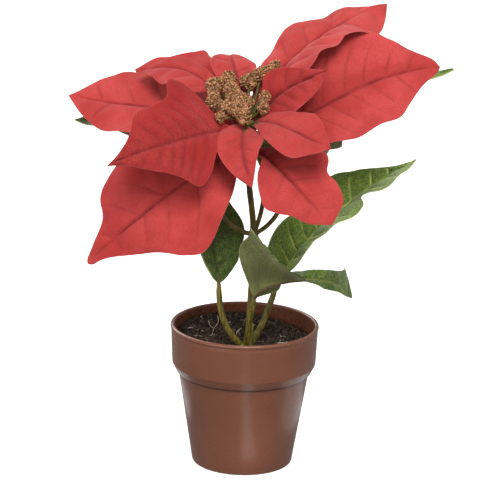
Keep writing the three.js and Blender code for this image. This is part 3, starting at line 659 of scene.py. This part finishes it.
    def faces(self):
        rows, across = self.rows, 2 * self.columns + 1
        tip = rows * across
        below = tip + 1
        faces = []
        for i in range(rows):
            for j in range(across - 1):
                p, q = i * across + j, i * across + j + 1
                loop = [p, q, tip] if i == rows - 1 else [p, q, q + across, p + across]
                faces.append(loop)
                faces.append([c + below for c in reversed(loop)])
        border = list(range(across)) + [i * across + across - 1 for i in range(1, rows)] \
            + [tip] + [i * across for i in range(rows - 1, 0, -1)]
        for p, q in zip(border, border[1:] + border[:1]):
            faces.append([q, p, p + below, q + below])
        return faces

    def make(self):
        """The mesh object, with what its material needs at each corner."""
        def both(values, tip):
            flat = np.r_[values.ravel(), tip]
            return np.r_[flat, flat]

        mid = 1 - smoothstep((self.s / self.length - 0.72) / 0.22)
        edge = both((self.f > ON_EDGE).astype(float), 1)
        under = np.zeros(len(edge))
        under[len(edge) // 2:] = 1
        obj = make_object(
            self.name + "_cloth", self.corners(), self.faces(), phase=both(self.phase, 0.5),
            fade=both(self.fade, 0), edge=edge, under=under,
            spacing=both(self.spacing, self.spacing.mean()), midfade=both(mid, 0),
            tone=np.full(len(edge), self.spec["tone"]))
        obj.data.set_sharp_from_angle(angle=math.radians(BLADE["sharp"]))
        flat_uv = np.column_stack([both(self.s, self.length), both(self.a * self.side, 0)]) / UV_MM
        loops = np.empty(len(obj.data.loops), int)
        obj.data.loops.foreach_get("vertex_index", loops)
        layer = obj.data.uv_layers.new(name="UVMap")
        layer.data.foreach_set("uv", flat_uv[loops].ravel())
        return obj


# ---- Tubes ----


def ring_faces(starts, sides, first, last):
    """Faces of a closed body of rings, which start at these corners, with a corner at each end."""
    faces = []
    for j, n in enumerate([*range(1, sides), 0]):
        faces.append([first, starts[0] + n, starts[0] + j])
        faces += [[a + j, a + n, b + n, b + j] for a, b in zip(starts, starts[1:])]
        faces.append([last, starts[-1] + j, starts[-1] + n])
    return faces


def tube(points, radius, sides=16, ridges=0, step=1.2, swell=(), seed=0.0):
    """Corners and faces of a closed round rod along a smooth line; swell is (mark, more, reach)."""
    rail = Rail(points)
    count = max(4, int(rail.length / step))
    marks = np.linspace(0, rail.length, count)
    centre, forward = rail.place(marks), rail.forward(marks)
    side = unit(np.cross(forward[0], [0.31, 0.87, 0.39]))
    verts = []
    for k in range(count):
        side = unit(side - forward[k] * (side @ forward[k]))
        other = np.cross(forward[k], side)
        angles = np.arange(sides) * 2 * np.pi / sides
        size = radius * (1 + 0.04 * noise.noise(Vector((seed, marks[k] * 0.25, 0.5))))
        for mark, more, reach in swell:
            size += more * math.exp(-((marks[k] - mark * rail.length) / reach) ** 2)
        ring = size * (1 + (0.1 * np.cos(ridges * angles) if ridges else 0))
        verts.append(centre[k] + (np.cos(angles) * ring)[:, None] * side
                     + (np.sin(angles) * ring)[:, None] * other)
    verts = np.vstack([*verts, centre[:1] - forward[:1] * radius * 0.4,
                       centre[-1:] + forward[-1:] * radius * 0.4])
    end = count * sides
    return verts, ring_faces(range(0, end, sides), sides, end, end + 1)


def joined(parts):
    verts, faces, base = [], [], 0
    for v, f in parts:
        verts.append(v)
        faces.extend([[c + base for c in face] for face in f])
        base += len(v)
    return np.vstack(verts), faces


# ---- Grains ----


def ball(level):
    mesh = bmesh.new()
    bmesh.ops.create_icosphere(mesh, subdivisions=level, radius=1)
    verts = np.array([v.co for v in mesh.verts])
    faces = np.array([[v.index for v in face.verts] for face in mesh.faces])
    mesh.free()
    return verts, faces


def grains(name, centres, sizes, rng, level, rough, stretch, smooth, **tones):
    """One mesh of many irregular grains. tones are values per grain."""
    base, base_faces = ball(level)
    count, corners = len(centres), len(base)
    shape = base[None] * (1 + rough * rng.uniform(-1, 1, (count, corners, 1)))
    shape = shape * rng.uniform(1 - stretch, 1 + stretch, (count, 1, 3))
    turn = rng.normal(size=(count, 4))
    turn /= np.linalg.norm(turn, axis=1, keepdims=True)
    axis = turn[:, None, 1:]
    twist = 2 * np.cross(axis, shape)
    shape += turn[:, None, :1] * twist + np.cross(axis, twist)
    verts = (centres[:, None] + shape * sizes[:, None, None]).reshape(-1, 3)
    faces = (base_faces[None] + corners * np.arange(count)[:, None, None]).reshape(-1, 3)
    spread = {key: np.repeat(values, corners) for key, values in tones.items()}
    return make_object(name, verts, faces.tolist(), smooth, **spread)


# ---- Camera, light and floor ----

CAMERA = {"place": (0, -1.5, 0.5717), "aim": (-0.00395, 0, 0.1393), "roll": 0.0217,
          "focal_px": 2599, "frame_px": 480, "sensor": 36}
FLOOR_MM = {"half": 6000, "level": -0.2}
# The world's strength rises from "To Min" straight below to "To Max" a little above the horizon.
SKY = {"From Min": -0.5, "From Max": 0.1, "To Min": 0.28, "To Max": 0.46}
# Place, aim, sides and watts. The strips lie on the floor, and the pot mirrors them.
LIGHTS = {
    "key": ((0.15, -0.95, 1.4), (0, 0, 0.2), (0.8, 0.8), 21.5),
    "fill": ((1.1, -0.9, 0.7), (0, 0, 0.15), (0.6, 0.6), 1.5),
    "front": ((-0.9, -1.1, 0.4), (0, 0, 0.15), (0.8, 0.8), 6),
    "back": ((-0.7, 1.1, 0.9), (0, 0, 0.15), (0.8, 0.8), 10),
    "strip": ((0.008, -0.21, 0.003), (0.008, -0.21, 1), (0.016, 0.34), 0.02),
    "strip_right": ((0.1, 0.02, 0.003), (0.1, 0.02, 1), (0.08, 0.1), 0.018),
    "strip_left": ((-0.078, 0.065, 0.003), (-0.078, 0.065, 1), (0.03, 0.08), 0.006),
}


def aimed(name, data, place, aim, roll=0):
    """An object at place that looks at aim, turned by roll."""
    obj = bpy.data.objects.new(name, data)
    obj.location = place
    obj.rotation_mode = "QUATERNION"
    level = (Vector(aim) - Vector(place)).to_track_quat("-Z", "Y")
    obj.rotation_quaternion = level @ Quaternion((0, 0, 1), roll)
    bpy.context.scene.collection.objects.link(obj)
    return obj


def make_camera():
    data = bpy.data.cameras.new("camera")
    data.sensor_width = CAMERA["sensor"]
    data.lens = CAMERA["focal_px"] / CAMERA["frame_px"] * CAMERA["sensor"]
    data.clip_start, data.clip_end = 0.05, 50
    bpy.context.scene.camera = aimed("camera", data, CAMERA["place"], CAMERA["aim"],
                                     CAMERA["roll"])


def make_floor():
    half, level = FLOOR_MM["half"], FLOOR_MM["level"]
    corners = [(-half, -half, level), (half, -half, level), (half, half, level),
               (-half, half, level)]
    floor = make_object("floor", corners, [[0, 1, 2, 3]], False)
    floor.data.materials.append(floor_material())
    floor.visible_diffuse = floor.visible_glossy = False


def make_world():
    world = bpy.data.worlds.new("studio")
    world.use_nodes = True
    tree = world.node_tree
    way = tree.nodes.new("ShaderNodeTexCoord")
    height = tree.nodes.new("ShaderNodeSeparateXYZ")
    shade = tree.nodes.new("ShaderNodeMapRange")
    for key, value in SKY.items():
        shade.inputs[key].default_value = value
    tree.links.new(way.outputs["Generated"], height.inputs[0])
    tree.links.new(height.outputs[2], shade.inputs[0])
    shine = tree.nodes["Background"].inputs
    tree.links.new(shade.outputs[0], shine["Strength"])
    shine["Color"].default_value = (1, 1, 1, 1)
    bpy.context.scene.world = world
    bpy.context.scene.view_settings.view_transform = "Standard"


def make_lights():
    for name, (place, aim, sides, watts) in LIGHTS.items():
        data = bpy.data.lights.new(name, "AREA")
        data.shape, data.energy = "RECTANGLE", watts
        data.size, data.size_y = sides
        aimed(name, data, place, aim).visible_camera = not name.startswith("strip")


make_camera()
make_floor()
make_world()
make_lights()

# ---- Pot ----


def rounded(points):
    """A profile of (r, z) from corners (r, z, radius), rounded where the radius isn't 0."""
    places = [np.array([r, z], float) for r, z, _ in points]
    out = []
    for k, (here, (_, _, bend)) in enumerate(zip(places, points)):
        if not bend:
            out.append(here)
            continue
        ways = [places[k - 1] - here, places[k + 1] - here]
        half = math.acos(np.clip(unit(ways[0]) @ unit(ways[1]), -1, 1)) / 2
        reach = min(bend / math.tan(half), *[0.45 * np.linalg.norm(way) for way in ways])
        start, end = [here + unit(way) * reach for way in ways]
        for t in np.linspace(0, 1, 6):
            out.append((1 - t)**2 * start + 2 * t * (1 - t) * here + t**2 * end)
    return out


def lathe(name, profile, sides):
    """A body turned from a profile of (r, z) that starts and ends on the axis."""
    angles = np.arange(sides) * 2 * np.pi / sides
    verts = [(0, 0, profile[0][1]), (0, 0, profile[-1][1])]
    for r, z in profile[1:-1]:
        verts += list(zip(r * np.cos(angles), r * np.sin(angles), np.full(sides, z)))
    return make_object(name, verts, ring_faces(range(2, len(verts), sides), sides, 0, 1))


def make_pot():
    p = POT
    collar_bottom = p["height"] - p["collar_drop"]
    shoulder_z = collar_bottom - p["step_drop"]
    bead, wall = p["bead"], p["wall"]
    bead_foot = p["height"] - 3 * bead
    collar = p["rim"] - p["collar_taper"]
    profile = [(0, 0, 0), (p["foot"], 0, p["foot_round"]),
               (p["shoulder"] - 0.4, shoulder_z - 0.6, 0.3), (p["shoulder"] + 1, shoulder_z, 0.3),
               (collar, collar_bottom, 1.2), (p["rim"] - 0.5, bead_foot - 0.4, 0.8)]
    lip = [(p["rim"] - bead + bead * math.cos(angle), p["height"] - bead
            + bead * math.sin(angle), 0)
           for angle in np.radians(np.linspace(-60, 190, 14))]
    inside = [(p["rim"] - 1 - wall, bead_foot, 0.6), (collar - wall, collar_bottom, 1.5),
              (p["shoulder"] - wall, shoulder_z, 1.5), (p["foot"] - wall, p["floor"] + 1, 1),
              (0, p["floor"] + 1, 0)]
    pot = lathe("pot_shell", rounded(profile + lip + inside), 144)
    pot.data.set_sharp_from_angle(angle=math.radians(50))
    finish_piece(pot, pot_material(), "pot", "pot")


make_pot()

# ---- Soil ----

BED = {"rings": 56, "sides": 150, "bottom": 68, "bump": 0.9, "bumps_per_mm": 0.35, "sunk": 0.3}
CRUMBS = {"count": 3600, "margin": 0.8, "least": 0.35, "most": 1.0, "large": 1.6,
          "large_share": 0.1, "pale_share": 0.04}
FIBRES = {"count": 26, "within": 36, "stop": 39, "points": 4, "step": 2.2}
# Two hairs that stand up at the left, as (route, radius).
HAIRS = [([(-23, -3, 79), (-20, -3, 80), (-18.5, -2.5, 84), (-16, -2, 88), (-16.5, -2, 92)], 0.2),
         ([(-18.5, -2.5, 84), (-21, -3, 86), (-22, -2, 89)], 0.13)]


def soil_height(x, y):
    back = np.maximum(0, (y - x) / (math.sqrt(2) * 35))
    root_x, root_y = ROOT["at"]
    dish = np.exp(-((x - root_x)**2 + (y - root_y)**2) / SOIL["dish_radius"]**2)
    rim = smoothstep((np.hypot(x, y) - 34) / 8)
    return (SOIL["height"] + SOIL["back_rise"] * back - SOIL["dish"] * dish
            - SOIL["edge_drop"] * rim)


def make_bed(rng, material):
    rings, sides, radius = BED["rings"], BED["sides"], SOIL["radius"]
    often = BED["bumps_per_mm"]
    angles = np.arange(sides) * 2 * np.pi / sides
    verts = [(0, 0, soil_height(0.0, 0.0))]
    for k in range(1, rings + 1):
        r = radius * k / rings
        x, y = r * np.cos(angles), r * np.sin(angles)
        bumps = [BED["bump"] * noise.fractal(Vector((a * often, b * often, 3)), 0.6, 2.1, 4)
                 for a, b in zip(x, y)]
        verts += list(zip(x, y, soil_height(x, y) + np.array(bumps) - BED["sunk"]))
    base = len(verts)
    verts += [(a, b, BED["bottom"]) for a, b in zip(x, y)]
    verts.append((0, 0, BED["bottom"]))
    faces = []
    for k in range(sides):
        n = (k + 1) % sides
        faces.append([0, 1 + k, 1 + n])
        for a in range(1, base, sides):
            b = a + sides
            faces.append([a + k, b + k, b + n, a + n])
        faces.append([base + sides, base + n, base + k])
    tone = np.clip(0.25 + 0.2 * rng.normal(size=len(verts)), 0, 1)
    finish_piece(make_object("soil_bed", verts, faces, tone=tone), material, "soil", "soil")


def make_crumbs(rng, material):
    count = CRUMBS["count"]
    r = (SOIL["radius"] - CRUMBS["margin"]) * np.sqrt(rng.uniform(0, 1, count))
    turn = rng.uniform(0, 2 * np.pi, count)
    x, y = r * np.cos(turn), r * np.sin(turn)
    size = rng.uniform(CRUMBS["least"], CRUMBS["most"], count)
    size *= np.where(rng.random(count) < CRUMBS["large_share"], CRUMBS["large"], 1)
    z = soil_height(x, y) + size * 0.15
    tone = rng.beta(1.4, 4, count) + (rng.random(count) < CRUMBS["pale_share"]) * 0.6
    crumbs = grains("soil_crumbs", np.column_stack([x, y, z]), size, rng, 1, 0.25, 0.35,
                    False, tone=np.clip(tone, 0, 1))
    finish_piece(crumbs, material, "soil")


def make_fibres(rng):
    fibres = []
    for _ in range(FIBRES["count"]):
        r, turn = FIBRES["within"] * math.sqrt(rng.uniform()), rng.uniform(0, 2 * math.pi)
        x, y, way = r * math.cos(turn), r * math.sin(turn), rng.uniform(0, 2 * math.pi)
        points = []
        while len(points) < FIBRES["points"] and math.hypot(x, y) <= FIBRES["stop"]:
            points.append((x, y, soil_height(x, y) + rng.uniform(0.5, 1.3)))
            way += rng.normal() * 0.6
            x += FIBRES["step"] * math.cos(way)
            y += FIBRES["step"] * math.sin(way)
        if len(points) > 2:
            fibres.append(tube(points, rng.uniform(0.1, 0.2), sides=5, step=0.8))
    fibres += [tube(points, radius, sides=6, step=0.8) for points, radius in HAIRS]
    finish_piece(make_object("soil_fibres", *joined(fibres)), fibre_material(), "soil")


soil_rng = np.random.default_rng(21)
soil_look = soil_material()
make_bed(soil_rng, soil_look)
make_crumbs(soil_rng, soil_look)
make_fibres(soil_rng)

# ---- Bracts and leaves ----

stem_lines = {"main": [*MAIN_STEM, on_bloom(0, -BLOOM["length"] / 2, 0), bloom_centre]}
for key, stem in STEMS.items():
    stem_lines[key] = route((*stem["at"], ROOT["top"]), stem["length"], stem["heading"],
                            stem["climb"])
for key, stem in PETIOLES.items():
    stem_lines["petiole_" + key] = route(CROTCH, **stem)


def root_of(spec):
    """Where a blade starts: by the receptacle's side or past the end of its stem."""
    if "seat" in spec:
        return on_bloom(*spec["seat"], BLOOM["radius"] + SEAT_GAP)
    stem = Rail(stem_lines[spec["stem"]])
    return stem.place(stem.length) + stem.forward(stem.length) * SEAT_GAP


ribs = []
blade_rng = np.random.default_rng(8)
for kind, table, look in (("bract", BRACTS, bract_material()), ("leaf", LEAVES, leaf_material())):
    for name, spec in table.items():
        blade = Blade(name, kind, spec, root_of(spec), blade_rng)
        ribs.append(blade.rail)
        finish_piece(blade.make(), look, kind, name)

# ---- Stems ----

SAGS = (2, 4, 4, 2, 0, 0, 0, 3, 2, 0, 0, 0, 0)     # mm that each head's stalk hangs down
SLEEVE_SHARE = 0.97                                # mean radius by the CAD stem's radius
COLLAR = {"heights": (70, 73, 76), "radius": 4.4}  # round the foot of the stems
RIB_FOOT = {"behind": 1.6, "marks": (0, 3, 7), "drop": 0.5, "radius": 1.2}


def head_of(number):
    low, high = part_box(f"cyathium_{number}")
    centre = np.array((low + high) / 2) / MM
    return centre, max(high - low) / 2 / MM


head_nodes = [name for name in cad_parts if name.startswith("cyathium_")]
heads = [head_of(k + 1) for k in range(len(head_nodes))]


def make_stems():
    parts = []
    for k, (key, line) in enumerate(stem_lines.items()):
        radius = STEM["petiole"] if key.startswith("petiole") else STEM["radius"]
        swell = {"main": [(0.52, 0.9, 3.5), (0.5, 0.4, 7)], "stub": []}.get(
            key, [(1.0, 1.3 - radius, 4)])
        parts.append(tube(line, radius * SLEEVE_SHARE, sides=20, ridges=5, swell=swell, seed=k))
    collar = [(*ROOT["at"], z) for z in COLLAR["heights"]]
    parts.append(tube(collar, COLLAR["radius"], sides=24, ridges=6))
    foot = on_bloom(0, -BLOOM["length"] / 2, 0)
    top = on_bloom(0, BLOOM["length"] / 2, 0)
    parts.append(tube([foot, (foot + top) / 2, top], BLOOM["radius"], sides=24, ridges=6,
                      swell=[(0.0, -0.8, 4)]))
    for (centre, radius), sag in zip(heads, SAGS):
        middle = (top + centre) / 2 - bloom_axis * (sag + 0.5)
        parts.append(tube([top - bloom_axis, middle, centre], STEM["stalk"], sides=10))
    for rail in ribs:
        marks = rail.place(RIB_FOOT["marks"])
        back = marks[0] - rail.forward(0) * RIB_FOOT["behind"]
        parts.append(tube([back, *marks - [0, 0, RIB_FOOT["drop"]]], RIB_FOOT["radius"], sides=12,
                          swell=[(1.0, -0.6, 3)]))
    stems = make_object("stems_sleeved", *joined(parts))
    finish_piece(stems, stem_material(), "stems", "stems")


make_stems()

# ---- Cyathia ----

# Pairs of heads whose crusts have grown together.
BRIDGES = [(1, 2), (2, 3), (3, 4), (1, 13), (4, 5), (13, 5), (13, 6), (5, 6), (7, 8), (8, 9),
           (10, 11), (4, 13)]
CRUST = {"small": 0.35, "large": 0.7, "area": 0.62, "core": 0.84, "bridge": 0.72}
BARE_BUD = {"head": 6, "way": (-0.15, -0.8, -0.55), "radius": 1.9}


def lump_size(way, number):
    """How far the crust stands out in one direction, as a share of the head's radius."""
    return 1 + 0.3 * lumps(way, 1.5, number * 7.3)


def crust_piece(name, spots, out, rng, material, *replaced):
    """Crumbs on the crust at spots; out is the direction outwards at each."""
    size = rng.uniform(CRUST["small"], CRUST["large"], len(spots))
    raised = spots + out * rng.uniform(-0.6, 0.7, (len(spots), 1))
    bud = smoothstep((lumps(spots, 0.35, 40) - 0.28) * 8) * (out @ bloom_axis > 0.1)
    green = bud * rng.uniform(0.5, 1, len(spots)) * (rng.random(len(spots)) < 0.5)
    tone = np.clip(rng.normal(0.45, 0.33, len(spots)), 0, 1)
    crumbs = grains(name, raised, size, rng, 1, 0.22, 0.3, True, tone=tone, green=green)
    finish_piece(crumbs, material, "cyathium", *replaced)


def make_heads():
    rng = np.random.default_rng(4)
    material = crumb_material()
    core, core_faces = ball(4)

    def body(name, middle, reach, tone):
        obj = make_object(name, middle + core * reach, core_faces.tolist(),
                          tone=np.full(len(core), tone), green=np.zeros(len(core)))
        finish_piece(obj, material, "cyathium")

    for number, (centre, radius) in enumerate(heads, 1):
        count = int(4 * math.pi * radius**2 / CRUST["area"])
        way = unit(rng.normal(size=(count, 3)))
        spots = centre + way * (radius * 0.93 * lump_size(way, number))[:, None]
        node = f"cyathium_{number}"
        crust_piece(node + "_crumbs", spots, way, rng, material, node)
        reach = radius * CRUST["core"] * lump_size(core, number)
        body(node + "_heart", centre, reach[:, None], 0.15)
    spots, ways = [], []
    for a, b in BRIDGES:
        (start, first), (stop, second) = heads[a - 1], heads[b - 1]
        axis = stop - start
        count = int(np.linalg.norm(axis) * 2 * math.pi * min(first, second) / CRUST["area"])
        t = rng.uniform(0.15, 0.85, count)[:, None]
        way = rng.normal(size=(count, 3))
        way = unit(way - unit(axis) * (way @ unit(axis))[:, None])
        reach = (first * (1 - t) + second * t) * CRUST["bridge"] * (0.8 + 0.8 * (t - 0.5)**2)
        places = start + axis * t + way * reach
        spots.append(places + way * 0.7 * lumps(places, 0.3, 3)[:, None])
        ways.append(way)
    crust_piece("cyathia_crust", np.vstack(spots), np.vstack(ways), rng, material)
    centre, radius = heads[BARE_BUD["head"] - 1]
    body("cyathium_bare_bud", centre + unit(BARE_BUD["way"]) * radius, BARE_BUD["radius"], 0.55)


make_heads()
